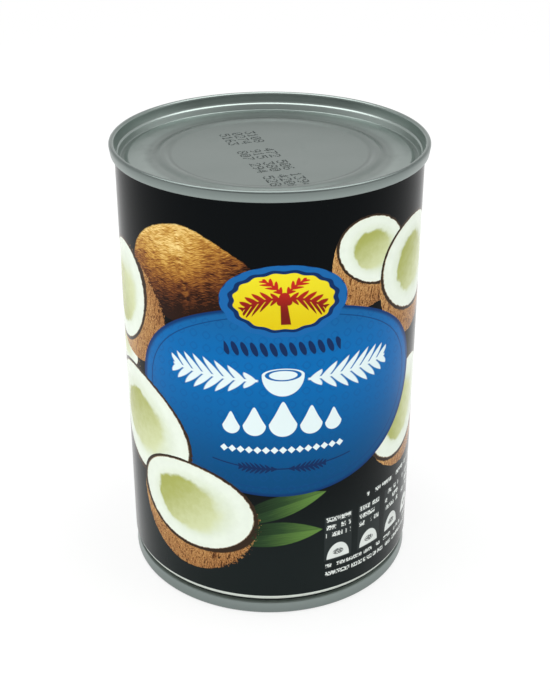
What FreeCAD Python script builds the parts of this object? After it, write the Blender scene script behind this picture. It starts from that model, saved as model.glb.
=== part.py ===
"""A shut food can: a welded tinplate body, necked in at the foot, with an end seamed on at each side.

Millimetres. +Z is up and is the axis of the can. The origin is the centre of the circle that the can
stands on, and the welded side seam is at +Y, at the back.
"""
import FreeCAD
import Part
import math
import os

import Sketcher
from FreeCAD import Vector

SIZES = {
    # the whole can
    "overall_height": 112.7,
    "body_diameter": 73.3,
    # double seams, which hold the ends on
    "seam_overhang": 1.25,
    "seam_thickness": 1.3,
    "seam_lean": 0.3,
    "lip_rise": 0.25,
    "top_seam_height": 2.9,
    "bottom_seam_height": 3.3,
    "stacking_clearance": 0.1,
    # the neck, as heights above the bottom seam
    "neck_rise": 0.5,
    "shoulder_rise": 2.5,
    "shoulder_radius": 2.0,
    # the pressed plate of an end, as depths below its own crest
    "plate_thickness": 0.2,
    "chuck_ledge_depth": 2.55,
    "chuck_ledge_drop": 0.3,
    "chuck_ledge_width": 0.35,
    "chuck_wall_lean": 0.5,
    "countersink_depth": 4.3,
    "countersink_lean": 0.4,
    "countersink_width": 1.1,
    "countersink_rise_lean": 0.6,
    "panel_rim_depth": 3.7,
    "panel_depth": 3.95,
    # rings pressed in the panel, measured in from the panel's rim
    "panel_slope_width": 4.0,
    "bead_inset": 8.15,
    "bead_width": 3.4,
    "bead_depth": 3.55,
    # the weld down the back of the body
    "weld_width": 1.2,
    "weld_thickness": 0.12,
    "weld_root": 0.05,
    "weld_clearance": 0.2,
}


class Length:
    """A length as its value, which starts the sketch, and as the expression that keeps it to the sheet."""

    def __init__(self, value, text):
        self.value = value
        self.text = text

    def __add__(self, other):
        return Length(self.value + other.value, f"({self.text} + {other.text})")

    def __sub__(self, other):
        return Length(self.value - other.value, f"({self.text} - {other.text})")

    def __mul__(self, factor):
        return Length(self.value * factor, f"({self.text} * {factor})")


def size(alias):
    return Length(SIZES[alias], f"Sizes.{alias}")


ZERO = Length(0.0, "0")

# small rounds as flats: how many, and how far the shoulder turns in, in degrees
CREST_FLATS = 4
SHOULDER_FLATS = 2
SHOULDER_TURN = 55


def add_sheet(doc):
    sheet = doc.addObject("Spreadsheet::Sheet", "Sizes")
    for row, (alias, value) in enumerate(SIZES.items(), start=1):
        sheet.set(f"A{row}", alias.replace("_", " "))
        sheet.set(f"B{row}", str(value))
        sheet.setAlias(f"B{row}", alias)
    doc.recompute()
    return sheet


# ---- where the pieces meet ------------------------------------------------------------------------


def body_radius():
    return size("body_diameter") * 0.5


def top_seam_radius():
    return body_radius() + size("seam_overhang")


def bottom_seam_radius():
    """The bottom seam drops inside the top seam of the can below it in a stack."""
    return top_seam_radius() - size("seam_thickness") - size("stacking_clearance")


def neck_radius():
    return bottom_seam_radius() - size("seam_overhang")


def shoulder_top():
    return size("bottom_seam_height") + size("shoulder_rise")


def plate_underside(seam_radius, seam_height, wall_radius):
    """The hidden face of an end, from the wall of the body in to the axis, as (radius, depth) corners."""
    crest_inside = seam_radius - size("seam_thickness")
    thickness = size("plate_thickness")
    wall_foot = crest_inside - size("chuck_wall_lean") - size("chuck_ledge_width")
    floor_edge = wall_foot - size("countersink_lean")
    floor_depth = size("countersink_depth") + thickness
    return [
        (wall_radius, seam_height),
        (floor_edge + thickness, floor_depth),
        (ZERO, floor_depth),
    ]


def plate_face(seam_radius, rings):
    """The open face of an end, from the axis out to its chuck wall, as (radius, depth) corners. rings says
    whether the panel's raised rim and the chuck's ledge are there beside the bead."""
    crest_inside = seam_radius - size("seam_thickness")
    ledge_top = crest_inside - size("chuck_wall_lean")
    ledge_foot = ledge_top - size("chuck_ledge_width")
    floor_outside = ledge_foot - size("countersink_lean")
    floor_inside = floor_outside - size("countersink_width")
    panel_rim = floor_inside - size("countersink_rise_lean")
    bead_middle = panel_rim - size("bead_inset")
    bead_half = size("bead_width") * 0.5
    ledge_depth = size("chuck_ledge_depth") + size("chuck_ledge_drop")
    corners = [
        (ZERO, size("panel_depth")),
        (bead_middle - bead_half, size("panel_depth")),
        (bead_middle, size("bead_depth")),
        (bead_middle + bead_half, size("panel_depth")),
    ]
    if rings:
        corners += [
            (panel_rim - size("panel_slope_width"), size("panel_depth")),
            (panel_rim, size("panel_rim_depth")),
        ]
    else:
        corners.append((panel_rim, size("panel_depth")))
    corners += [
        (floor_inside, size("countersink_depth")),
        (floor_outside, size("countersink_depth")),
        (ledge_foot, ledge_depth),
    ]
    if rings:
        corners.append((ledge_top, size("chuck_ledge_depth")))
    return corners


# ---- sketches -------------------------------------------------------------------------------------


def on_plane(body, role, name):
    """A sketch in its body, laid on one of the body's own origin planes."""
    sketch = body.newObject("Sketcher::SketchObject", name)
    plane = [item for item in body.Origin.OriginFeatures if item.Role == role][0]
    sketch.AttachmentSupport = [(plane, "")]
    sketch.MapMode = "FlatFace"
    return sketch


def pin(sketch, item, position, across, up):
    """Holds a point of the sketch at a place given by the sheet, or on the axes where that is zero."""
    for kind, length, axis in (("DistanceX", across, -2), ("DistanceY", up, -1)):
        if length is ZERO:
            sketch.addConstraint(Sketcher.Constraint("PointOnObject", item, position, axis))
            continue
        index = sketch.addConstraint(
            Sketcher.Constraint(kind, -1, 1, item, position, length.value)
        )
        sketch.setExpression(f"Constraints[{index}]", length.text)


def add_profile(sketch, corners):
    """A closed outline of straight edges through (across, up) corners, each held by the sheet."""
    points = [Vector(across.value, up.value, 0) for across, up in corners]
    edges = [
        sketch.addGeometry(Part.LineSegment(points[i - 1], points[i]), False)
        for i in range(len(points))
    ]
    for i, (across, up) in enumerate(corners):
        following = edges[(i + 1) % len(edges)]
        sketch.addConstraint(Sketcher.Constraint("Coincident", edges[i], 2, following, 1))
        pin(sketch, edges[i], 2, across, up)


def flats_round(centre_across, centre_up, radius, first, last, flats):
    """Corners along a round, which stays a few flats because its radius is small beside the can's. Angles
    are in degrees from the outward direction towards the second coordinate's."""
    corners = []
    for i in range(flats + 1):
        angle = math.radians(first + (last - first) * i / flats)
        across = centre_across + radius * math.cos(angle)
        up = centre_up + radius * math.sin(angle)
        corners.append((across, up))
    return corners


def revolve(body, name, corners):
    """Turns an outline in the XZ plane once round the axis of the can."""
    sketch = on_plane(body, "XZ_Plane", f"{name}_outline")
    add_profile(sketch, corners)
    turned = body.newObject("PartDesign::Revolution", name)
    turned.Profile = sketch
    turned.ReferenceAxis = (sketch, ["V_Axis"])
    turned.Angle = 360
    body.Tip = turned
    return turned


# ---- pieces ---------------------------------------------------------------------------------------


def add_body(doc, label):
    body = doc.addObject("PartDesign::Body", label)
    body.Label = label
    return body


def end_profile(seam_radius, seam_height, wall_radius, rings):
    """The whole section of an end as (radius, depth) corners: its open face, the rolled seam and its hidden
    face. The crest of the seam is a half round as wide as the seam is thick."""
    roll = size("seam_thickness") * 0.5
    lip_radius = seam_radius - size("seam_lean")
    corners = plate_face(seam_radius, rings)
    corners += flats_round(seam_radius - roll, roll, roll, -180, 0, CREST_FLATS)
    corners.append((lip_radius, seam_height - size("lip_rise")))
    return corners + plate_underside(seam_radius, seam_height, wall_radius)


def add_can_body(doc):
    """The printed wall with what it holds, as one shut solid. Its two faces are those of the ends' plates."""
    body = add_body(doc, "can_body")
    top = size("overall_height")
    wall = body_radius()
    neck = neck_radius()
    bend = size("shoulder_radius")
    lid = plate_underside(top_seam_radius(), size("top_seam_height"), wall)
    base = plate_underside(bottom_seam_radius(), size("bottom_seam_height"), neck)
    corners = list(reversed(base))
    corners.append((neck, size("bottom_seam_height") + size("neck_rise")))
    corners += flats_round(wall - bend, shoulder_top(), bend, -SHOULDER_TURN, 0, SHOULDER_FLATS)
    corners += [(across, top - depth) for across, depth in lid]
    revolve(body, "wall", corners)
    add_weld(body)
    return body


def add_weld(body):
    """The lap of the side seam, a low strip down the back from just under the top seam to the shoulder."""
    sketch = on_plane(body, "XY_Plane", "weld_section")
    clearance = size("weld_clearance")
    foot = shoulder_top() + clearance
    sketch.AttachmentOffset = FreeCAD.Placement(Vector(0, 0, foot.value), FreeCAD.Rotation())
    sketch.setExpression(".AttachmentOffset.Base.z", foot.text)
    half = size("weld_width") * 0.5
    inside = body_radius() - size("weld_root")
    outside = body_radius() + size("weld_thickness")
    left = half * -1
    add_profile(sketch, [(left, inside), (half, inside), (half, outside), (left, outside)])
    strip = body.newObject("PartDesign::Pad", "weld")
    strip.Profile = sketch
    length = size("overall_height") - size("top_seam_height") - clearance - foot
    strip.Length = length.value
    strip.setExpression("Length", length.text)
    body.Tip = strip


def add_top_end(doc):
    """The end that faces up: panel with pressed rings, countersink, chuck wall and double seam."""
    body = add_body(doc, "top_end")
    top = size("overall_height")
    section = end_profile(top_seam_radius(), size("top_seam_height"), body_radius(), rings=True)
    revolve(body, "pressed_lid", [(across, top - depth) for across, depth in section])
    return body


def add_bottom_end(doc):
    """The same pressing one size down, turned over, with its seam as the ring that the can stands on."""
    body = add_body(doc, "bottom_end")
    section = end_profile(bottom_seam_radius(), size("bottom_seam_height"), neck_radius(), rings=False)
    revolve(body, "pressed_base", section)
    return body


# ---- build ----------------------------------------------------------------------------------------


def check(doc, pieces):
    for item in doc.Objects:
        if "Invalid" in item.State or "Error" in item.State:
            raise RuntimeError(f"{item.Label} failed: {item.State}")
    for piece in pieces:
        if piece.Shape.isNull() or not piece.Shape.isValid() or len(piece.Shape.Solids) != 1:
            raise RuntimeError(f"{piece.Label} is not one sound solid")


def main():
    doc = FreeCAD.newDocument("food_can")
    add_sheet(doc)
    pieces = [add_can_body(doc), add_top_end(doc), add_bottom_end(doc)]
    doc.recompute()
    check(doc, pieces)
    os.makedirs("parts", exist_ok=True)
    for piece in pieces:
        piece.Shape.exportStep(f"parts/{piece.Label}.step")
        box = piece.Shape.BoundBox
        print(piece.Label, round(piece.Shape.Volume, 1), "mm3", round(box.ZMin, 3), round(box.ZMax, 3))


main()
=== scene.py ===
"""Coconut milk can: a printed food can with two double-seamed ends, dressed over its CAD frame.

Lengths are in metres. The can stands on the floor at the origin, with its side weld at the
back (+Y).
"""

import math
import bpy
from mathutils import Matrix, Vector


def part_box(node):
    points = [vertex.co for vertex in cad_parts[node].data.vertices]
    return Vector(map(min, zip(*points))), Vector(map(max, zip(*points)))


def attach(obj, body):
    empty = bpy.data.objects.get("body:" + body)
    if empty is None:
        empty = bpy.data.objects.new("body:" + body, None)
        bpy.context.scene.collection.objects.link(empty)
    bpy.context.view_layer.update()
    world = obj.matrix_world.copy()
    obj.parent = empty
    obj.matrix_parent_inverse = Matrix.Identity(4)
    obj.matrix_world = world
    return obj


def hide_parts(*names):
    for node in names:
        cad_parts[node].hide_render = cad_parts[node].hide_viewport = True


bl_info = {
    "name": "Coconut Milk Can",
    "version": (1, 0, 0),
    "blender": (4, 5, 0),
    "location": "View3D > Sidebar > Milk Can",
    "description": "Builds a printed food can with pressed ends, and the stage it stands on",
    "category": "Add Mesh",
}

import bmesh
import bpy
from bpy.props import (
    FloatProperty,
    FloatVectorProperty,
    IntProperty,
    PointerProperty,
    StringProperty,
)
from mathutils import Matrix, Vector

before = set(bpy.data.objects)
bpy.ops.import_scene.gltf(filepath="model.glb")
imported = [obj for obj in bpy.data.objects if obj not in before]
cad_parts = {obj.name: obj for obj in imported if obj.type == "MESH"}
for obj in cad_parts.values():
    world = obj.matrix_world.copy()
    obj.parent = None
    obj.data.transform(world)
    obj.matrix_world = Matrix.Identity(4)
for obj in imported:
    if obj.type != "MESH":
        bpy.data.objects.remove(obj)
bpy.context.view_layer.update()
CAN_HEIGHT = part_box("top_end")[1].z

MM = 0.001

# How far each piece runs past the one it meets, out of sight.
OVERLAP = 0.05 * MM
# How far the flange of a seam lies inside the wall, and below the countersink.
FLANGE_INSET = 1.1 * MM
FLANGE_DROP = 0.2 * MM
# Edges sharper than this many degrees stay sharp in the shading.
CREASE = 38


# ---------------------------------------------------------------- sizes and colours


def length(name, description, default):
    """A length the user may change, in metres."""
    return FloatProperty(
        name=name, description=description, default=default, min=0, precision=5,
        subtype="DISTANCE", unit="LENGTH",
    )


def ink(red, green, blue):
    """A printed colour from 0 to 255 as the linear values that nodes use."""
    return tuple(
        (c / 255 / 12.92 if c <= 10 else ((c / 255 + 0.055) / 1.055) ** 2.4)
        for c in (red, green, blue)
    )


def colour(name, description, default):
    """A plain colour the user may change."""
    return FloatVectorProperty(
        name=name, description=description, default=default, size=3, min=0, max=1,
        subtype="COLOR",
    )


# Dot patterns of the plain digits, top row first.
DIGITS = {
    "0": " ### |#   #|#  ##|# # #|##  #|#   #| ### ",
    "1": "  #  | ##  |  #  |  #  |  #  |  #  | ### ",
    "2": " ### |#   #|    #|   # |  #  | #   |#####",
    "3": "#####|   # |  #  |   # |    #|#   #| ### ",
    "4": "   # |  ## | # # |#  # |#####|   # |   # ",
    "5": "#####|#    |#### |    #|    #|#   #| ### ",
    "6": "  ## | #   |#    |#### |#   #|#   #| ### ",
    "7": "#####|    #|   # |  #  | #   | #   | #   ",
    "8": " ### |#   #|#   #| ### |#   #|#   #| ### ",
    "9": " ### |#   #|#   #| ####|    #|   # | ##  ",
}

# Steps from digit to digit and from line to line, in dots.
DIGIT_STEP = 6.2
LINE_STEP = 8.7


class MilkCanSizes(bpy.types.PropertyGroup):
    """Sizes of the can's wall and of its two pressed ends."""

    height: length("Height", "Overall height over both seams", CAN_HEIGHT)
    body_radius: length("Body radius", "Radius of the printed wall", 36.65 * MM)
    seam_radius: length("Top seam radius", "Radius over the top double seam", 37.9 * MM)
    foot_radius: length("Bottom seam radius", "Radius over the bottom double seam", 36.5 * MM)
    seam_thickness: length("Seam thickness", "Thickness of each double seam", 1.3 * MM)
    top_seam: length("Top seam height", "Height of the top double seam", 2.9 * MM)
    bottom_seam: length("Bottom seam height", "Height of the bottom double seam", 3.3 * MM)
    panel_depth: length("Panel depth", "Depth of the flat panel under the seam's crest", 3.95 * MM)
    countersink: length("Countersink depth", "Depth of the groove round the panel", 4.3 * MM)
    bead_rise: length("Bead rise", "Height of the ring bead over the panel", 0.4 * MM)
    bead_width: length("Bead width", "Width of the ring bead", 3.4 * MM)
    weld_width: length("Weld width", "Width of the welded side seam", 1.2 * MM)
    code: StringProperty(
        name="Lid code", description="Plain digits on the top end, with lines parted by a stroke",
        default="3108  472 506 1394/0274  915 380 4206/5163  807 294 5280",
    )
    code_dot: length("Code dot", "Diameter of one dot of the lid code", 0.37 * MM)
    code_pitch: length("Code pitch", "Distance between the dots of the lid code", 0.375 * MM)
    turn_steps: IntProperty(
        name="Steps", description="Steps round the can", default=224, min=48, max=360
    )


class MilkCanColours(bpy.types.PropertyGroup):
    """Colours of the print, of the tinplate and of the stage."""

    ground: colour("Ground", "Black behind the coconuts", ink(3, 6, 8))
    # Paler black low on the wall, a painted reflection of the floor.
    ground_painted_reflection: colour("Ground at the foot", "Paler black low on the wall", ink(21, 28, 28))
    plaque: colour("Plaque", "Blue of the plaque", ink(8, 100, 167))
    plaque_foot: colour("Plaque at the foot", "Darker blue low on the plaque", ink(6, 68, 114))
    ornament: colour("Ornament", "White of the plaque's large ornaments", ink(216, 230, 231))
    ornament_dark: colour("Dark ornament", "Navy of the plaque's small ornaments", ink(16, 42, 84))
    medallion: colour("Medallion", "Yellow of the medallion", ink(226, 213, 40))
    crown: colour("Palm crown", "Red of the palm on the medallion", ink(186, 38, 28))
    flesh: colour("Coconut flesh", "White of the cut coconuts", ink(223, 231, 218))
    hollow: colour("Coconut hollow", "Green shade in the cut coconuts", ink(160, 165, 88))
    small_print: colour("Small marks", "Pale grey of the small marks", ink(214, 219, 215))
    # Partly the bare tin's own colour and partly a painted reflection of the floor on the
    # shoulder.
    shoulder: colour("Bare shoulder", "Bare metal under the print", ink(208, 214, 206))
    tin: colour("Tin", "Grey of the pressed ends", ink(146, 156, 152))
    # Darker grey, painted shade on the wall round each panel.
    tin_wall_painted_shade: colour("Tin wall", "Grey of the wall round each panel", ink(106, 116, 112))
    tin_seam: colour("Tin seam", "Grey of the outer face of each seam", ink(136, 146, 143))
    marking: colour("Marking ink", "Dark grey of the lid code", ink(44, 53, 51))
    floor: colour("Floor", "Pale floor under the can", ink(244, 245, 244))


# ---------------------------------------------------------------- shapes


def finish_mesh(bm, name, material):
    """Turns a bmesh into a smooth-shaded piece that rides on the can."""
    mesh = bpy.data.meshes.new(name)
    for face in bm.faces:
        face.smooth = True
    bm.to_mesh(mesh)
    bm.free()
    mesh.set_sharp_from_angle(angle=math.radians(CREASE))
    mesh.materials.append(material)
    piece = bpy.data.objects.new(name, mesh)
    bpy.context.scene.collection.objects.link(piece)
    return piece


def turned(corners, steps):
    """A closed solid turned from its half outline.

    Each corner is (radius, height) or (radius, height, rounding), from axis to axis. The rounding
    is how far the round reaches along the two lines that meet there.
    """
    bm = bmesh.new()
    points = [bm.verts.new((corner[0], 0, corner[1])) for corner in corners]
    for start, end in zip(points, points[1:]):
        bm.edges.new((start, end))
    for point, corner in zip(points, corners):
        if len(corner) > 2:
            bmesh.ops.bevel(
                bm, geom=[point], offset=corner[2], offset_type="OFFSET", segments=6,
                profile=0.5, affect="VERTICES", material=-1,
            )
    bmesh.ops.spin(
        bm, geom=bm.verts[:] + bm.edges[:], cent=(0, 0, 0), axis=(0, 0, 1), dvec=(0, 0, 0),
        angle=math.tau, steps=steps, use_merge=True,
    )
    bmesh.ops.remove_doubles(bm, verts=bm.verts, dist=1e-6)
    bmesh.ops.recalc_face_normals(bm, faces=bm.faces)
    return bm


def end_face(sizes, seam_radius, depth):
    """Visible face of a pressed end, as corners from the axis out to the seam's crest.

    The depth is a function that turns a depth under the crest into a height.
    """
    inner = seam_radius - sizes.seam_thickness
    crest = sizes.seam_thickness / 2
    bead = inner - 11.1 * MM
    half_bead = sizes.bead_width / 2
    return [
        (0, depth(sizes.panel_depth)),
        (bead - half_bead, depth(sizes.panel_depth), 0.3 * MM),
        (bead - 0.5 * MM, depth(sizes.panel_depth - sizes.bead_rise), 0.3 * MM),
        (bead + 0.5 * MM, depth(sizes.panel_depth - sizes.bead_rise), 0.3 * MM),
        (bead + half_bead, depth(sizes.panel_depth), 0.3 * MM),
        (inner - 6.95 * MM, depth(sizes.panel_depth), 1.2 * MM),
        (inner - 2.95 * MM, depth(sizes.panel_depth - 0.25 * MM), 0.3 * MM),
        (inner - 2.35 * MM, depth(sizes.countersink), 0.25 * MM),
        (inner - 1.25 * MM, depth(sizes.countersink), 0.15 * MM),
        (inner - 0.85 * MM, depth(2.85 * MM), 0.08 * MM),
        (inner - 0.5 * MM, depth(2.55 * MM), 0.08 * MM),
        (inner, depth(crest)),
        (inner, depth(0), 0.99 * crest),
    ]


class MILKCAN_OT_body(bpy.types.Operator):
    """Turn the printed wall with its necked-in foot"""

    bl_idname = "milk_can.body"
    bl_label = "Printed Body"

    def execute(self, context):
        sizes = context.scene.milk_can_sizes
        neck = sizes.foot_radius - sizes.seam_thickness + OVERLAP
        foot, wall, top = sizes.bottom_seam, sizes.body_radius, sizes.height - sizes.top_seam
        hidden = sizes.countersink + FLANGE_DROP
        bm = turned(
            [
                (0, hidden),
                (neck - FLANGE_INSET, hidden),
                (neck, foot),
                (neck, foot + 0.5 * MM, 0.25 * MM),
                (wall, foot + 1.459 * MM, 1.041 * MM),
                (wall, top),
                (wall - FLANGE_INSET, sizes.height - hidden),
                (0, sizes.height - hidden),
            ],
            sizes.turn_steps,
        )
        body = finish_mesh(bm, "printed_body", print_finish())
        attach(body, "root")
        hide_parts("can_body")
        return {"FINISHED"}


class MILKCAN_OT_weld(bpy.types.Operator):
    """Lay the welded side seam up the back of the wall"""

    bl_idname = "milk_can.weld"
    bl_label = "Side Weld"

    def execute(self, context):
        sizes = context.scene.milk_can_sizes
        inner, outer = sizes.body_radius - OVERLAP, sizes.body_radius + 0.12 * MM
        low, high = sizes.bottom_seam + 2.7 * MM, sizes.height - sizes.top_seam - 0.2 * MM
        reach = sizes.weld_width / outer
        bm = bmesh.new()
        corners = [(inner, low), (outer, low), (outer, high), (inner, high)]
        strip = bm.faces.new([bm.verts.new((radius, 0, height)) for radius, height in corners])
        bmesh.ops.rotate(
            bm, verts=bm.verts, cent=(0, 0, 0),
            matrix=Matrix.Rotation((math.pi - reach) / 2, 3, "Z"),
        )
        bmesh.ops.spin(
            bm, geom=[strip], cent=(0, 0, 0), axis=(0, 0, 1), dvec=(0, 0, 0), angle=reach, steps=6
        )
        bmesh.ops.recalc_face_normals(bm, faces=bm.faces)
        weld = finish_mesh(bm, "side_weld", tin_finish("weld_tin"))
        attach(weld, "root")
        return {"FINISHED"}


class MILKCAN_OT_top_end(bpy.types.Operator):
    """Turn the pressed top end with its double seam"""

    bl_idname = "milk_can.top_end"
    bl_label = "Top End"

    def execute(self, context):
        sizes = context.scene.milk_can_sizes

        def depth(below):
            return sizes.height - below

        seam, crest = sizes.seam_radius, sizes.seam_thickness / 2
        hidden = depth(sizes.countersink + FLANGE_DROP)
        bm = turned(
            end_face(sizes, seam, depth)
            + [
                (seam, depth(0), 0.99 * crest),
                (seam, depth(crest)),
                (seam - 0.3 * MM, depth(sizes.top_seam - 0.25 * MM), 0.22 * MM),
                (sizes.body_radius, depth(sizes.top_seam)),
                (sizes.body_radius - FLANGE_INSET, hidden),
                (0, hidden),
            ],
            sizes.turn_steps,
        )
        low = (sizes.height - sizes.top_seam) / MM
        # The seam's outer face is painted lighter at its low edge, a painted reflection.
        tin = tin_finish("top_end_tin", 0.0, low, low + 2.6, (1.08, 0.76))
        end = finish_mesh(bm, "pressed_top_end", tin)
        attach(end, "root")
        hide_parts("top_end")
        return {"FINISHED"}


class MILKCAN_OT_bottom_end(bpy.types.Operator):
    """Turn the pressed bottom end with its smaller double seam"""

    bl_idname = "milk_can.bottom_end"
    bl_label = "Bottom End"

    def execute(self, context):
        sizes = context.scene.milk_can_sizes

        def depth(above):
            return above

        seam, crest = sizes.foot_radius, sizes.seam_thickness / 2
        neck = seam - sizes.seam_thickness + OVERLAP
        hidden = sizes.countersink + FLANGE_DROP
        bm = turned(
            end_face(sizes, seam, depth)
            + [
                (seam, depth(0), 0.99 * crest),
                (seam, depth(crest)),
                (seam - 0.3 * MM, depth(sizes.bottom_seam - 0.25 * MM), 0.22 * MM),
                (neck, depth(sizes.bottom_seam)),
                (neck - FLANGE_INSET, hidden),
                (0, hidden),
            ],
            sizes.turn_steps,
        )
        inset, top = (sizes.seam_radius - seam) / MM, sizes.bottom_seam / MM
        # The seam's outer face is painted lighter towards its top as a painted reflection, and
        # darker right under the neck as painted shade.
        tin = tin_finish("bottom_end_tin", inset, 0.2, top, (0.78, 0.95), top)
        end = finish_mesh(bm, "pressed_bottom_end", tin)
        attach(end, "root")
        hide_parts("bottom_end")
        return {"FINISHED"}


class MILKCAN_OT_code(bpy.types.Operator):
    """Print the dotted digits on the top end's panel"""

    bl_idname = "milk_can.code"
    bl_label = "Lid Code"

    def execute(self, context):
        sizes = context.scene.milk_can_sizes
        pitch, thickness = sizes.code_pitch, 0.03 * MM
        panel = sizes.height - sizes.panel_depth
        turned_text = Matrix.Translation((-8.3 * MM, 14.4 * MM, panel)) @ Matrix.Rotation(
            math.radians(-70.5), 4, "Z"
        )
        bm = bmesh.new()
        for line, text in enumerate(sizes.code.split("/")):
            for place, digit in enumerate(text):
                rows = DIGITS[digit].split("|") if digit in DIGITS else ()
                for row, dots in enumerate(rows):
                    for column, dot in enumerate(dots):
                        if dot == "#":
                            x = (place * DIGIT_STEP + column) * pitch
                            y = (3 - row - (line - 1) * LINE_STEP) * pitch
                            bmesh.ops.create_cone(
                                bm, cap_ends=True, segments=8, radius1=sizes.code_dot / 2,
                                radius2=sizes.code_dot / 2, depth=thickness,
                                matrix=turned_text @ Matrix.Translation((x, y, thickness / 2)),
                            )
        code = finish_mesh(bm, "lid_code", code_finish())
        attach(code, "root")
        return {"FINISHED"}


# ---------------------------------------------------------------- materials


class Value:
    """A socket in a finish, so that shader maths reads as plain sums."""

    def __init__(self, finish, socket):
        self.finish, self.socket = finish, socket

    def __add__(self, other):
        return self.finish.math("ADD", self, other)

    __radd__ = __add__

    def __sub__(self, other):
        return self.finish.math("SUBTRACT", self, other)

    def __rsub__(self, other):
        return self.finish.math("SUBTRACT", other, self)

    def __mul__(self, other):
        return self.finish.math("MULTIPLY", self, other)

    __rmul__ = __mul__

    def __truediv__(self, other):
        return self.finish.math("DIVIDE", self, other)

    def __pow__(self, other):
        return self.finish.math("POWER", self, other)

    def __neg__(self):
        return self.finish.math("MULTIPLY", self, -1)

    def __abs__(self):
        return self.finish.math("ABSOLUTE", self)


class Finish:
    """A material or world being made, whose nodes all come from one method."""

    def __init__(self, owner):
        self.owner = owner
        self.colours = bpy.context.scene.milk_can_colours
        owner.use_nodes = True
        self.tree = owner.node_tree
        self.tree.nodes.clear()

    def node(self, kind, settings=None, inputs=None, output=0):
        """Adds a node, with its settings set first, and gives one of its outputs."""
        node = self.tree.nodes.new(kind)
        for name, value in (settings or {}).items():
            if name == "stops":
                ramp = node.color_ramp
                while len(ramp.elements) < len(value):
                    ramp.elements.new(1)
                for element, (place, shade) in zip(ramp.elements, value):
                    element.position = place
                    element.color = (*shade, 1)
            else:
                setattr(node, name, value)
        for socket, value in (inputs or {}).items():
            if isinstance(value, Value):
                self.tree.links.new(value.socket, node.inputs[socket])
            elif isinstance(value, tuple) and node.inputs[socket].type == "RGBA":
                node.inputs[socket].default_value = (*value, 1)
            else:
                node.inputs[socket].default_value = value
        return Value(self, node.outputs[output]) if len(node.outputs) else None

    def shade(self, name):
        """One of the user's colours."""
        return tuple(getattr(self.colours, name))

    def math(self, operation, *values, clamp=False):
        return self.node(
            "ShaderNodeMath", {"operation": operation, "use_clamp": clamp}, dict(enumerate(values))
        )

    def least(self, first, second):
        return self.math("MINIMUM", first, second)

    def most(self, first, second):
        return self.math("MAXIMUM", first, second)

    def reach(self, across, up):
        """Distance from the middle of a pair of coordinates."""
        return self.math("SQRT", across * across + up * up)

    def inside(self, distance, limit=0.0, blur=0.12):
        """1 where the distance is under the limit, with an edge as soft as the blur."""
        return self.math("MULTIPLY_ADD", limit - distance, 1 / blur, 0.5, clamp=True)

    def fade(self, value, low, high):
        """Runs smoothly from 0 at the low value to 1 at the high one."""
        return self.node(
            "ShaderNodeMapRange", {"interpolation_type": "SMOOTHSTEP"},
            {"Value": value, "From Min": low, "From Max": high},
        )

    def blend(self, mask, below, above):
        """The colour above where the mask is 1, over the colour below."""
        return self.node(
            "ShaderNodeMix", {"data_type": "RGBA"}, {0: mask, 6: below, 7: above}, 2
        )

    def tint(self, shade, amount):
        """A colour made lighter or darker by a number."""
        return self.node(
            "ShaderNodeVectorMath", {"operation": "SCALE"}, {0: shade, "Scale": amount}
        )

    def pick(self, mask, below, above):
        """One of two vectors."""
        return self.node(
            "ShaderNodeMix", {"data_type": "VECTOR"}, {0: mask, 4: below, 5: above}, 1
        )

    def split(self, vector):
        """The three coordinates of a vector."""
        first = self.node("ShaderNodeSeparateXYZ", inputs={0: vector})
        return first, *(Value(self, first.socket.node.outputs[i]) for i in (1, 2))

    def join(self, across, up, depth=0.0):
        return self.node("ShaderNodeCombineXYZ", inputs={0: across, 1: up, 2: depth})

    def local(self, vector, place, turn, size):
        """Coordinates about a place, turned by degrees and divided by a size."""
        return self.node(
            "ShaderNodeMapping", {"vector_type": "TEXTURE"},
            {
                "Vector": vector, "Location": (*place, 0),
                "Rotation": (0, 0, math.radians(turn)), "Scale": (*size, 1),
            },
        )

    def noise(self, vector, scale, detail=2.0, roughness=0.5, stretch=(1, 1, 1), turn=0):
        moved = self.node(
            "ShaderNodeMapping", {},
            {"Vector": vector, "Rotation": (0, 0, math.radians(turn)), "Scale": stretch},
        )
        return self.node(
            "ShaderNodeTexNoise", {},
            {"Vector": moved, "Scale": scale, "Detail": detail, "Roughness": roughness},
        )

    def ramp(self, value, stops):
        return self.node("ShaderNodeValToRGB", {"stops": stops}, {0: value})

    def place(self):
        """Object coordinates in millimetres."""
        spot = self.node("ShaderNodeTexCoord", output=3)
        return self.node("ShaderNodeVectorMath", {"operation": "SCALE"}, {0: spot, "Scale": 1000})

    def surface(self, **inputs):
        """The coated or bare surface, from the sockets of its shader."""
        names = {name.replace("_", " "): value for name, value in inputs.items()}
        shader = self.node("ShaderNodeBsdfPrincipled", inputs=names)
        self.node("ShaderNodeOutputMaterial", inputs={0: shader})
        return self.owner


# Radii of the forms on the top end, in millimetres, where the tin is lighter or darker: painted
# highlights on the groove and ledge, painted shade on the bead's outer and inner flanks, and a
# darker bead.
RINGS = {"bead": 25.4, "inner": 23.7, "outer": 27.3, "groove": 35.5, "ledge": 35.9}


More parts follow.
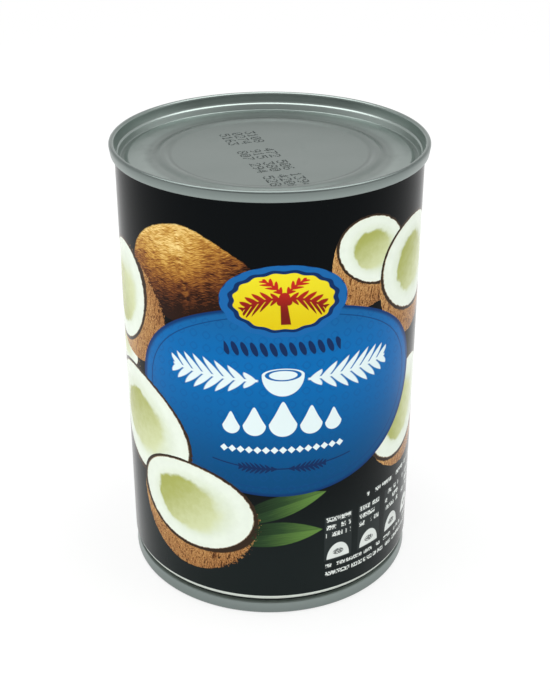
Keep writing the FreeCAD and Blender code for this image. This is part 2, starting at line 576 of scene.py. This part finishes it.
def tin_finish(name, inset=0.0, seam_low=0.0, seam_high=1.0, painted_seam_tones=(1.0, 1.0), lip=1000.0):
    """Lacquered tinplate: a satin grey metal with a fine rolled grain, shallow waves and rubs.

    The inset is how much smaller the end's radii are than those of the top end. The wall round
    the panel is painted darker as painted shade, and lighter towards the sides as a painted
    reflection. The slope, the groove's wall and the ledge are painted lighter as painted light
    and highlights, and the bead's outer flank at the back and inner flank at the front are
    painted darker as painted shade. The outer face of the seam runs from the first tone at its
    low edge to the second at its high one as a painted reflection, and darkens towards the
    height of a lip that lies against the wall as painted shade.
    """
    finish = Finish(bpy.data.materials.new(name))
    spot = finish.place()
    x, y, z = finish.split(spot)
    radius = finish.reach(x, y) + inset
    grain = finish.noise(spot, 2.2, 3, 0.6, stretch=(1, 0.12, 1), turn=18)
    cloud = finish.noise(spot, 0.07, 2)
    scratches = finish.noise(spot, 0.22, 3, 0.65, stretch=(1, 0.5, 1), turn=-30)
    rubs = finish.fade(scratches, 0.52, 0.75)
    ring = finish.fade(radius, 26.5, 29.0) * finish.fade(radius, 34.0, 31.5)
    # Painted light on the slope round the panel.
    painted_slope_light = finish.fade(radius, 28.4, 30.2) * finish.fade(radius, 34.6, 33.9)
    # Painted light on the groove's wall.
    groove = finish.inside(abs(radius - RINGS["groove"]), 0.35, 0.2)
    # Painted shade on the bead's outer flank at the back and on its inner flank at the front.
    painted_flank_shade = finish.inside(abs(radius - RINGS["outer"]), 0.45, 0.4) * finish.fade(y, -14, 12)
    inner = finish.inside(abs(radius - RINGS["inner"]), 0.4, 0.4) * finish.fade(y, 12, -14)
    painted_flank_shade = painted_flank_shade + inner
    bead = finish.inside(abs(radius - RINGS["bead"]), 1.5, 0.5)
    # Painted highlight on the ledge of the wall round the panel.
    ledge = finish.inside(abs(radius - RINGS["ledge"]), 0.2, 0.1)
    chuck = finish.fade(radius, 36.1, 36.25) * finish.fade(radius, 36.8, 36.55)
    wall = finish.fade(radius, 37.35, 37.5)
    # Painted shade: the wall round the panel is darker, with a painted reflection that lightens it
    # towards the sides.
    painted_chuck_shade = finish.tint(
        finish.shade("tin_wall_painted_shade"), 1 + finish.fade(abs(x) / radius, 0.5, 0.95) * 1.2
    )
    shade = finish.blend(chuck, finish.shade("tin"), painted_chuck_shade)
    # Painted reflection: the seam's outer face grows lighter or darker from its low edge to its
    # high one.
    painted_seam_reflection = finish.fade(z, seam_low, seam_high) * (painted_seam_tones[1] - painted_seam_tones[0]) + painted_seam_tones[0]
    shade = finish.blend(wall, shade, finish.tint(finish.shade("tin_seam"), painted_seam_reflection))
    tone = 0.95 + grain * 0.06 + cloud * 0.05 - rubs * ring * 0.16
    # Painted highlights on the slope, groove and ledge; painted shade on the bead's flanks.
    tone = tone + painted_slope_light * 0.32 + groove * 0.14 + ledge * 0.2 - painted_flank_shade * 0.25 - bead * 0.09
    # Painted shade towards the lip where the seam meets the wall.
    tone = tone * (1 - finish.fade(z, lip - 0.4, lip - 0.1) * 0.75)
    shade = finish.tint(shade, tone)
    dents = finish.noise(spot, 0.16, 1.5) * ring * 0.45
    wave = finish.noise(spot, 0.055, 1.5)
    bump = finish.node(
        "ShaderNodeBump",
        inputs={"Strength": 0.3, "Distance": 0.001, "Height": wave + dents},
    )
    return finish.surface(
        Base_Color=shade, Metallic=1.0, Roughness=0.25 + grain * 0.06 + cloud * 0.06 + rubs * 0.05,
        Normal=bump,
    )


def code_finish():
    """Matt grey marking ink, thin enough to let the tin through in places."""
    finish = Finish(bpy.data.materials.new("marking_ink"))
    thin = finish.noise(finish.place(), 0.8, 2)
    shade = finish.blend(finish.fade(thin, 0.4, 0.75), finish.shade("marking"), ink(96, 106, 103))
    return finish.surface(Base_Color=shade, Metallic=0.4, Roughness=0.55)


# Places on the print are millimetres: round the wall to the right of the middle of the front,
# and up from the floor. Turns are degrees.
WALL_RADIUS = 36.65
BARE_MARGIN = 2.6
SHOULDER_HEIGHT = 5.6
# Under this height the neck groove is painted dark, a painted shade.
NECK_HEIGHT = 3.75
PLAQUE = {"middle": (3.4, 60.5), "size": (38.6, 25.2)}
MEDALLION = {"middle": (3.2, 86.6), "size": (12.3, 7.3)}
WHOLE_NUTS = (
    # middle, turn, size
    ((-20.5, 90.6), 8, (17.0, 11.9)),
    ((-60.5, 58.5), -35, (14.0, 11.0)),
)
BACK_HALVES = (
    # middle of the cut face, turn, size of the face, depth of the shell under it
    ((25.6, 95.6), -24, (10.4, 7.6), 1.75),
    ((42.6, 87.6), -10, (14.2, 11.4), 1.5),
    ((40.5, 49.0), 28, (14.5, 11.5), 1.35),
    ((-50.8, 63.6), -6, (12.0, 5.0), 1.2),
    ((-45.5, 79.0), 62, (13.2, 11.2), 1.75),
)
FRONT_HALVES = (
    ((-37.3, 46.4), -20, (17.2, 13.0), 1.02),
    ((-20.4, 29.4), -7, (16.4, 11.6), 1.5),
)
LEAVES = (
    # middle, turn, half length and half width
    ((1.8, 31.6), 20, (12.5, 3.1)),
    ((0.6, 23.8), 6, (12.4, 3.5)),
)
BACK_PANEL = {"middle": 88.0, "half": 13.5, "foot": 24.0, "height": 52.7}
TABS = {"first": 17.5, "pitch": 9.75, "count": 4, "middle": 20.8, "half": (3.9, 6.6)}
MARKS_START = 13.2


def nearest_half(finish, spot, chosen, halves):
    """The local coordinates of the topmost cut coconut at a spot, and 1 where there is one."""
    found = 0.0
    for middle, turn, size, depth in halves:
        local = finish.local(spot, middle, turn, size)
        across, up, _ = finish.split(local)
        down = finish.least(up, 0) / depth + finish.most(up, 0)
        hairy = finish.fade(across, 0.35, 0.95) * finish.fade(up, 0.4, -0.1)
        fringe = (finish.noise(spot, 1.5, 2, 0.7) - 0.45) * hairy * 0.34
        here = finish.math("LESS_THAN", finish.reach(across, down) - fringe, 1.06)
        chosen = finish.pick(here, chosen, finish.join(across, up, depth))
        found = finish.most(here, found)
    return chosen, found


def cut_coconut(finish, spot, chosen, fibre):
    """Colour of a cut coconut: white flesh round a pale hollow, with a dark rim over its husk."""
    across, up, depth = finish.split(chosen)
    face = finish.reach(across, up)
    wobble = finish.noise(spot, 0.12, 3, 0.6) * 0.42 - 0.21
    hollow = finish.reach(across + 0.06, up + 0.03) + wobble
    flecks = finish.noise(spot, 0.45, 4, 0.65)
    flesh = finish.blend(
        finish.fade(face, 0.6, 0.85), ink(213, 222, 202), finish.shade("flesh")
    )
    flesh = finish.tint(flesh, 0.92 + flecks * 0.14)
    lit = finish.fade(across * 0.9 - up * 0.6 + flecks * 0.6, -0.35, 0.95)
    water = finish.blend(lit, finish.shade("hollow"), ink(203, 210, 166))
    soft = finish.fade(across, -0.35, 0.6) * 0.12
    deep = finish.fade(hollow, 0.55 - soft, 0.63 + soft)
    flesh = finish.blend(1 - deep, flesh, water)
    under = finish.fade(up / depth + 0.12 * across, -1.0, -0.1)
    dusk = finish.fade(across, 0.1, 1.0)
    husk = finish.ramp(
        fibre * 1.3 + under * 0.2 - 0.24 - dusk * 0.14,
        ((0.14, ink(34, 20, 12)), (0.36, ink(96, 58, 32)), (0.56, ink(156, 106, 60)),
         (0.85, ink(216, 176, 112))),
    )
    thick = dusk * finish.fade(up, 0.2, -0.5) * 0.03
    rim = finish.inside(abs(face - 1.02 - fibre * 0.03 - thick), 0.036 + thick, 0.02)
    colour = finish.blend(finish.inside(face, 1.0, 0.02), husk, flesh)
    return finish.blend(rim, colour, ink(50, 38, 28))


def whole_coconut(finish, spot, colour, nut):
    """Lays a whole hairy coconut over a colour."""
    middle, turn, size = nut
    local = finish.local(spot, middle, turn, size)
    across, up, _ = finish.split(local)
    wide, high = across * size[0], up * size[1]
    bend = finish.noise(spot, 0.1, 2, 0.6) * 3.0
    hair = 0.0
    for lean, weight in ((0.0, 0.5), (0.34, 0.4), (-0.26, 0.4)):
        strand = finish.noise(
            finish.join(wide * 0.13, (high + wide * lean) * 1.05 + bend), 1.6, 2, 0.65
        )
        hair = hair + finish.most(1 - abs(strand * 2 - 1) * 5.5, -0.4) * weight
    fuzz = finish.noise(spot, 1.3, 3, 0.75)
    light = 1 - finish.reach(across * 0.62 + 0.1, up * 0.74 - 0.5)
    taper = up * (1 + finish.most(across, 0) ** 2 * 0.9)
    edge = finish.reach(across, taper) + fuzz * 0.04
    glow = finish.fade(edge, 0.86, 1.0) * finish.fade(up, 0.1, 0.6)
    brown = finish.ramp(
        hair * 0.27 + light * 0.78 + fuzz * 0.2 + glow * 0.14 - 0.16,
        ((0.12, ink(38, 20, 12)), (0.32, ink(100, 54, 27)), (0.5, ink(152, 98, 40)),
         (0.68, ink(196, 150, 68)), (0.95, ink(240, 212, 140))),
    )
    return finish.blend(finish.inside(edge, 1.02, 0.025), colour, brown)


def leaf_blade(finish, spot, colour, leaf):
    """Lays a long green leaf over a colour."""
    middle, turn, size = leaf
    across, up, _ = finish.split(finish.local(spot, middle, turn, size))
    bent = up + across * across * 0.35 - 0.12
    room = 1 - across * across
    vein = finish.noise(finish.join(across * 0.6, bent * 5), 3.0, 3, 0.6)
    green = finish.ramp(
        finish.fade(across, -0.8, 1.0) * 0.5 + vein * 0.34 + finish.inside(bent, 0, 0.1) * 0.14,
        ((0.14, ink(17, 28, 20)), (0.45, ink(40, 64, 37)), (0.82, ink(92, 128, 60))),
    )
    return finish.blend(finish.inside(abs(bent) - room, 0, 0.06), colour, green)


def frond(finish, along, up, span, height, bend, gap):
    """1 on a feathered palm frond that runs from 0 to its span, with a gap from leaf to leaf."""
    bent = up + along * along * bend
    lean = (along - abs(bent) * 0.9) / gap
    slot = finish.math("FRACT", lean)
    row = (lean - slot + 0.5) * (gap / span)
    fit = height * finish.math("SQRT", finish.most(row * (1 - row) * 3.6, 0))
    leaflet = abs(bent) / finish.most(fit, 0.01)
    blade = abs(slot - 0.5) - 0.41 * (1 - leaflet ** 3.0)
    blade = finish.inside(blade, 0, 0.12) * finish.inside(leaflet, 1, 0.1)
    blade = blade * finish.inside(abs(row - 0.5), 0.49, 0.04)
    stem = finish.inside(abs(bent), 0.3, 0.1) * finish.inside(abs(along / span - 0.5), 0.5, 0.02)
    return finish.most(blade, stem)


def drop(finish, across, up, size):
    """1 on a milk drop with its point up, whose round part has radius 1."""
    across, up = across / size, up / size
    tip = finish.most(up, 0)
    narrowed = across * (1 + tip * 0.55 + tip * tip * 0.25)
    return finish.inside(finish.reach(narrowed, up - tip * 0.45), 1, 0.1 / size)


def dashes(finish, across, up, pitch, height, seed):
    """1 on rows of ragged fine strokes in short groups, like fine print seen from afar."""
    line = finish.math("FLOOR", up / pitch)
    level = up / pitch - line - 0.5
    groups = finish.noise(finish.join(across * 0.34, line * 7.3 + seed), 1.6, 1, 0.5)
    strokes = finish.noise(finish.join(across * 1.5, up * 0.9 + line * 5.1 + seed), 1.7, 1, 0.6)
    rows = finish.inside(abs(level) * pitch, height / 2, 0.15)
    return rows * finish.inside(0.44 - groups, 0, 0.03) * finish.inside(0.47 - strokes, 0, 0.07)


def box_mask(finish, across, up, half, blur=0.12):
    """1 inside a rectangle of the given half sizes."""
    return finish.inside(finish.most(abs(across) - half[0], abs(up) - half[1]), 0, blur)


def print_finish():
    """The can's gloss print: coconuts and leaves on black round a blue plaque."""
    finish = Finish(bpy.data.materials.new("lacquered_print"))
    spot = finish.node("ShaderNodeTexCoord", output=3)
    x, y, z = finish.split(spot)
    turn = finish.math("ARCTAN2", x, -y)
    around, up = turn * WALL_RADIUS, z * 1000
    flat = finish.join(around, up)
    ripple = finish.noise(flat, 0.9, 2)
    ragged = finish.join(around + ripple * 0.5 - 0.25, up + ripple * 0.4 - 0.2)

    # Painted reflection: the black grows paler low on the wall.
    colour = finish.blend(
        finish.fade(up, 48, 14), finish.shade("ground"), finish.shade("ground_painted_reflection")
    )
    for leaf in LEAVES:
        colour = leaf_blade(finish, flat, colour, leaf)
    for nut in WHOLE_NUTS:
        colour = whole_coconut(finish, ragged, colour, nut)

    far = (9.0, 9.0, 1.0)
    chosen, back = nearest_half(finish, ragged, far, BACK_HALVES)
    chosen, front = nearest_half(finish, ragged, chosen, FRONT_HALVES)
    swirl = finish.noise(flat, 0.2, 2) * 3
    strand = finish.noise(finish.join(around * 1.0 + swirl, up * 0.26 + swirl), 1.7, 4, 0.75)
    fibre = finish.noise(flat, 2.2, 3, 0.8) * 0.5 + (1 - abs(strand * 2 - 1) * 2.6) * 0.45
    halves = cut_coconut(finish, ragged, chosen, fibre)
    colour = finish.blend(finish.most(back, front), colour, halves)

    colour = finish.blend(
        (1 - front) * plaque_mask(finish, flat), colour, plaque_colour(finish, flat)
    )
    colour = back_panels(finish, around, up, colour)
    marks, tabs = small_print(finish, flat, around, up)
    colour = finish.blend(tabs, colour, ink(38, 44, 44))
    colour = finish.blend(marks, colour, finish.shade("small_print"))
    margin = finish.inside(math.pi - abs(turn), BARE_MARGIN / WALL_RADIUS, 0.004)
    shoulder = finish.inside(up, SHOULDER_HEIGHT, 0.12)
    bare = finish.most(margin, shoulder)
    grain = finish.noise(finish.place(), 1.6, 3, 0.6, stretch=(1, 1, 0.1))
    # Painted highlight: the bare shoulder grows lighter towards the neck.
    painted_shoulder_highlight = finish.tint(finish.shade("shoulder"), 1 + finish.fade(up, 5.2, 4.3) * 0.5)
    tin = finish.blend(shoulder, finish.shade("tin"), painted_shoulder_highlight)
    colour = finish.blend(bare, colour, finish.tint(tin, 0.92 + grain * 0.12))
    # Painted shade: the neck groove under the shoulder is dark.
    groove = finish.inside(up, NECK_HEIGHT, 0.25)
    colour = finish.blend(groove, colour, ink(30, 34, 34))
    wave = finish.noise(finish.place(), 0.05, 1)
    bump = finish.node(
        "ShaderNodeBump", inputs={"Strength": 0.12, "Distance": 0.001, "Height": wave}
    )
    return finish.surface(
        Base_Color=colour, Metallic=margin * 0.7 + shoulder * (1 - groove) * 0.3,
        Roughness=0.13 + wave * 0.06, Specular_IOR_Level=0.06, Normal=bump,
    )


def plaque_mask(finish, flat):
    """1 on the plaque and on the medallion that stands over its top edge."""
    across, up, _ = finish.split(finish.local(flat, PLAQUE["middle"], 0, PLAQUE["size"]))
    plate = finish.inside(finish.reach(across, up), 1, 0.005)
    across, up, _ = finish.split(finish.local(flat, MEDALLION["middle"], 0, MEDALLION["size"]))
    return finish.most(plate, finish.inside(finish.reach(across, up), 1.2, 0.012))


def plaque_colour(finish, flat):
    """The blue plaque with its lattice, its medallion and its rows of white ornaments."""
    across, up, _ = finish.split(finish.local(flat, PLAQUE["middle"], 0, PLAQUE["size"]))
    edge = finish.reach(across, up)
    tall = finish.fade(up, -1.0, 0.35)
    colour = finish.blend(tall, finish.shade("plaque_foot"), finish.shade("plaque"))
    colour = finish.blend(finish.fade(up, 0.45, 1.0), colour, ink(22, 92, 148))
    wide, high = across * PLAQUE["size"][0], up * PLAQUE["size"][1]
    lattice = finish.math("SINE", (wide + high) * 0.95) * finish.math("SINE", (wide - high) * 0.95)
    petals = finish.inside(0.28 - lattice, 0, 0.35)
    petals = petals - finish.inside(0.62 - lattice, 0, 0.25)
    colour = finish.blend(petals * 0.35, colour, ink(14, 74, 132))
    colour = finish.blend(finish.inside(abs(edge - 0.915), 0.004, 0.006), colour, ink(12, 62, 116))
    colour = finish.blend(finish.fade(edge, 0.955, 0.99), colour, ink(10, 52, 104))

    white = finish.shade("ornament")
    middle = wide + 0.4
    side = abs(middle)
    navy = finish.shade("ornament_dark")
    bud = finish.math("PINGPONG", middle + (high - 14.3) * 0.35, 1.1)
    buds = finish.inside(finish.reach(bud, (high - 14.3) * 0.42), 0.74)
    colour = finish.blend(buds * finish.inside(side, 13.6), colour, navy)
    fan = frond(finish, side - 5.8, high - 6.3, 21.2, 4.6, -0.002, 2.6)
    colour = finish.blend(fan, colour, white)
    bowl = finish.inside(finish.reach(middle, (high - 7.6) * 0.92), 4.9)
    bowl = bowl * finish.inside(high - 7.6, 0)
    brim = finish.reach(middle / 4.9, (high - 7.7) / 1.75)
    milk = finish.reach(middle / 3.1, (high - 7.7) / 0.8)
    colour = finish.blend(finish.most(bowl, finish.inside(brim, 1, 0.03)), colour, white)
    colour = finish.blend(finish.inside(abs(brim - 0.76), 0.1, 0.04), colour, ink(20, 96, 164))
    colour = finish.blend(finish.inside(milk, 1, 0.05), colour, white)
    low = high + 4.6
    splash = drop(finish, middle, low + 0.6, 3.3)
    splash = finish.most(splash, drop(finish, side - 6.7, low + 1.0, 2.7))
    splash = finish.most(splash, drop(finish, side - 12.2, low + 1.4, 2.1))
    colour = finish.blend(splash, colour, white)
    gems = finish.inside(finish.math("PINGPONG", middle, 1.0) + abs(high + 12.2), 0.95, 0.15)
    colour = finish.blend(gems * finish.inside(side, 14.9), colour, white)
    sweep = finish.inside(abs(high + 17.4 - middle * middle * 0.006), 0.16, 0.14)
    colour = finish.blend(sweep * finish.inside(side, 17), colour, navy)
    twig = frond(finish, side - 1.5, high + 17.4, 9, 1.7, -0.006, 1.1)
    colour = finish.blend(twig, colour, navy)
    return medallion(finish, flat, colour)


def medallion(finish, flat, colour):
    """Lays the yellow scalloped medallion with its red palm crown over the plaque."""
    across, up, _ = finish.split(finish.local(flat, MEDALLION["middle"], 0, MEDALLION["size"]))
    wide, high = across * MEDALLION["size"][0], up * MEDALLION["size"][1]
    ripple = finish.math("COSINE", finish.math("ARCTAN2", up, across) * 16) * 0.022
    edge = finish.reach(across, up) + ripple
    colour = finish.blend(finish.inside(edge, 1.2, 0.02), colour, ink(24, 96, 160))
    colour = finish.blend(finish.inside(edge, 1.03, 0.015), colour, ink(10, 44, 92))
    yellow = finish.blend(finish.fade(up, -1, 1), ink(214, 190, 20), finish.shade("medallion"))
    colour = finish.blend(finish.inside(edge, 0.93, 0.015), colour, yellow)
    side, tall = abs(wide), high - 1.0
    crown = frond(finish, side - 0.9, tall + 0.2, 9.0, 3.0, 0.04, 1.55)
    upper = frond(
        finish, side * 0.57 + tall * 0.82 - 0.9, tall * 0.57 - side * 0.82, 5.0, 1.7, 0.06, 1.35
    )
    trunk = finish.inside(abs(wide + (high + 2) * 0.1), 0.75 - high * 0.07)
    trunk = trunk * finish.inside(abs(high + 2.3), 3.3)
    nuts = finish.inside(finish.reach(side - 0.9, tall + 1.1), 0.85)
    nuts = finish.most(nuts, finish.inside(finish.reach(side, tall), 1.25))
    red = finish.most(finish.most(crown, upper), finish.most(trunk, nuts))
    red = red * finish.inside(edge, 0.86, 0.02)
    palm = finish.blend(finish.fade(high, -4, 5), ink(112, 26, 20), finish.shade("crown"))
    return finish.blend(red, colour, palm)


def back_panels(finish, around, up, colour):
    """Lays a column of pale dashes under a blue bar on each side of the weld."""
    across, high = abs(around) - BACK_PANEL["middle"], up - BACK_PANEL["foot"]
    half, tall = BACK_PANEL["half"], BACK_PANEL["height"]
    bar = box_mask(finish, across, high - tall - 6.5, (half, 3.0), 0.2)
    colour = finish.blend(bar, colour, finish.shade("plaque"))
    gems = finish.math("PINGPONG", across, 1.6) + abs(high - tall - 6.5)
    gems = finish.inside(gems, 1.1, 0.15) * finish.inside(abs(across), half - 2.5)
    rule = box_mask(finish, across, abs(high - tall / 2) - tall / 2 - 1.4, (half, 0.14))
    rows = dashes(finish, around, high, 3.1, 1.15, 23.0)
    rows = rows * box_mask(finish, across, high - tall / 2, (half, tall / 2))
    marks = finish.most(finish.most(gems, rule), rows)
    return finish.blend(marks, colour, finish.shade("small_print"))


def small_print(finish, flat, around, up):
    """Masks of the pale marks low on the right, and of the grey tabs that they stand on."""
    first, pitch, middle = TABS["first"], TABS["pitch"], TABS["middle"]
    number = finish.most(
        finish.least(finish.math("ROUND", (around - first) / pitch), TABS["count"] - 1), 0
    )
    across, high = around - first - number * pitch, up - middle
    lines = dashes(finish, across + number * 40, high + 0.1, 2.3, 1.3, 3.0)
    lines = lines * box_mask(finish, across, high - 3.35, (3.5, 3.35))
    pill = finish.inside(finish.reach(across / 3.2, finish.most(high + 6.2, 0) / 4.4), 1, 0.03)
    pill = pill * finish.inside(-6.2 - high, 0)
    mark = finish.inside(finish.reach(across / 1.5, (high + 4.4) / 0.85), 1, 0.15)
    pill = pill * (1 - mark * finish.fade(finish.noise(flat, 2.6, 2), 0.36, 0.5) * 0.85)
    title = dashes(finish, around, up - 29.0, 2.0, 1.2, 11.0) * box_mask(
        finish, around - 40, up - 30.0, (14, 1)
    )
    notes = dashes(finish, around, up - 9.0, 2.5, 1.2, 5.0) * box_mask(
        finish, around - 34, up - 11.0, (20, 2.2)
    )
    tab = box_mask(finish, across, high, TABS["half"], 0.3)
    started = finish.inside(-around, -MARKS_START)
    return finish.least(lines + pill + notes + title, 1) * started, tab * started


# ---------------------------------------------------------------- stage

FLOOR_REACH = 20
LAMP_TARGET = Vector((0, 0, 0.05))
CAMERA = {
    "place": (0, -283.313 * MM, 203.651 * MM), "sensor": 36, "lens": 64.897,
    # degrees about its own axes
    "turn": (90 - 27.351, -0.226, -0.073),
}


def floor_finish():
    """A plain pale floor."""
    finish = Finish(bpy.data.materials.new("floor_paper"))
    spot = finish.place()
    tone = finish.noise(spot, 0.004, 1)
    x, y, _ = finish.split(spot)
    glow = 0.7 + finish.fade(finish.reach(x, y), 200, 700) * 0.3
    shade = finish.tint(finish.shade("floor"), 0.99 + tone * 0.02)
    paper = finish.node("ShaderNodeBsdfDiffuse", inputs={0: shade})
    white = finish.node("ShaderNodeEmission", inputs={0: (1.0, 1.0, 1.0), 1: 1.0})
    path = finish.node("ShaderNodeLightPath")
    outputs = path.socket.node.outputs
    seen = path
    for name in ("Is Glossy Ray", "Is Transmission Ray"):
        seen = finish.most(seen, Value(finish, outputs[name]))
    mixed = finish.node("ShaderNodeMixShader", inputs={0: seen * glow, 1: paper, 2: white})
    finish.node("ShaderNodeOutputMaterial", inputs={0: mixed})
    return finish.owner


def soft_world(world):
    """Soft room light, a little dimmer from the front, over a white horizon."""
    finish = Finish(world)
    _, back, high = finish.split(finish.node("ShaderNodeTexCoord"))
    room = 0.28 + finish.fade(back + high * 0.6, -0.75, 0.65) * 0.34
    horizon = finish.fade(high, 0.3, 0.18)
    strength = room + horizon * (1 - room)
    light = finish.node("ShaderNodeBackground", inputs={0: (1.0, 1.0, 1.0), 1: strength})
    finish.node("ShaderNodeOutputWorld", inputs={0: light})


class MILKCAN_OT_stage(bpy.types.Operator):
    """Set up the floor, the lamps and the camera"""

    bl_idname = "milk_can.stage"
    bl_label = "Stage"

    def lamp(self, scene, name, place, size, power):
        """Hangs a soft lamp of a width and a length that faces the can."""
        data = bpy.data.lights.new(name, "AREA")
        data.shape, data.size, data.size_y, data.energy = "RECTANGLE", *size, power
        lamp = bpy.data.objects.new(name, data)
        lamp.location = place
        aim = LAMP_TARGET - lamp.location
        lamp.rotation_euler = aim.to_track_quat("-Z", "Y").to_euler()
        scene.collection.objects.link(lamp)
        return lamp

    def execute(self, context):
        scene = context.scene
        bm = bmesh.new()
        bmesh.ops.create_grid(bm, x_segments=1, y_segments=1, size=FLOOR_REACH)
        floor = finish_mesh(bm, "studio_floor", floor_finish())

        scene.world = scene.world or bpy.data.worlds.new("room")
        soft_world(scene.world)
        self.lamp(scene, "overhead_lamp", (0, 0.05, 1.1), (2.2, 0.9), 15)
        self.lamp(scene, "front_fill", (-0.3, -1.3, 0.7), (0.9, 0.9), 6.5).visible_glossy = False

        data = bpy.data.cameras.new("can_camera")
        data.sensor_width, data.lens, data.clip_start = CAMERA["sensor"], CAMERA["lens"], 0.01
        camera = bpy.data.objects.new("can_camera", data)
        pose = Matrix.Translation(CAMERA["place"])
        for degrees, axis in zip(CAMERA["turn"], "XYZ"):
            pose = pose @ Matrix.Rotation(math.radians(degrees), 4, axis)
        camera.matrix_world = pose
        scene.collection.objects.link(camera)
        scene.camera = camera
        scene.view_settings.view_transform = "Standard"
        return {"FINISHED"}


class MILKCAN_PT_panel(bpy.types.Panel):
    """The can's sizes, colours and pieces in the sidebar"""

    bl_label = "Milk Can"
    bl_idname = "MILKCAN_PT_panel"
    bl_space_type = "VIEW_3D"
    bl_region_type = "UI"
    bl_category = "Milk Can"

    def draw(self, context):
        for group in (context.scene.milk_can_sizes, context.scene.milk_can_colours):
            for name in group.__annotations__:
                self.layout.prop(group, name)
        for operator in OPERATORS:
            self.layout.operator(operator.bl_idname)


OPERATORS = (
    MILKCAN_OT_stage,
    MILKCAN_OT_body,
    MILKCAN_OT_weld,
    MILKCAN_OT_top_end,
    MILKCAN_OT_bottom_end,
    MILKCAN_OT_code,
)
CLASSES = (MilkCanSizes, MilkCanColours, *OPERATORS, MILKCAN_PT_panel)


def register():
    for cls in CLASSES:
        bpy.utils.register_class(cls)
    bpy.types.Scene.milk_can_sizes = PointerProperty(type=MilkCanSizes)
    bpy.types.Scene.milk_can_colours = PointerProperty(type=MilkCanColours)


def unregister():
    del bpy.types.Scene.milk_can_colours
    del bpy.types.Scene.milk_can_sizes
    for cls in reversed(CLASSES):
        bpy.utils.unregister_class(cls)


def main():
    """Builds the stage and every piece."""
    register()
    bpy.ops.milk_can.stage()
    bpy.ops.milk_can.body()
    bpy.ops.milk_can.weld()
    bpy.ops.milk_can.top_end()
    bpy.ops.milk_can.bottom_end()
    bpy.ops.milk_can.code()


if __name__ == "__main__":
    main()
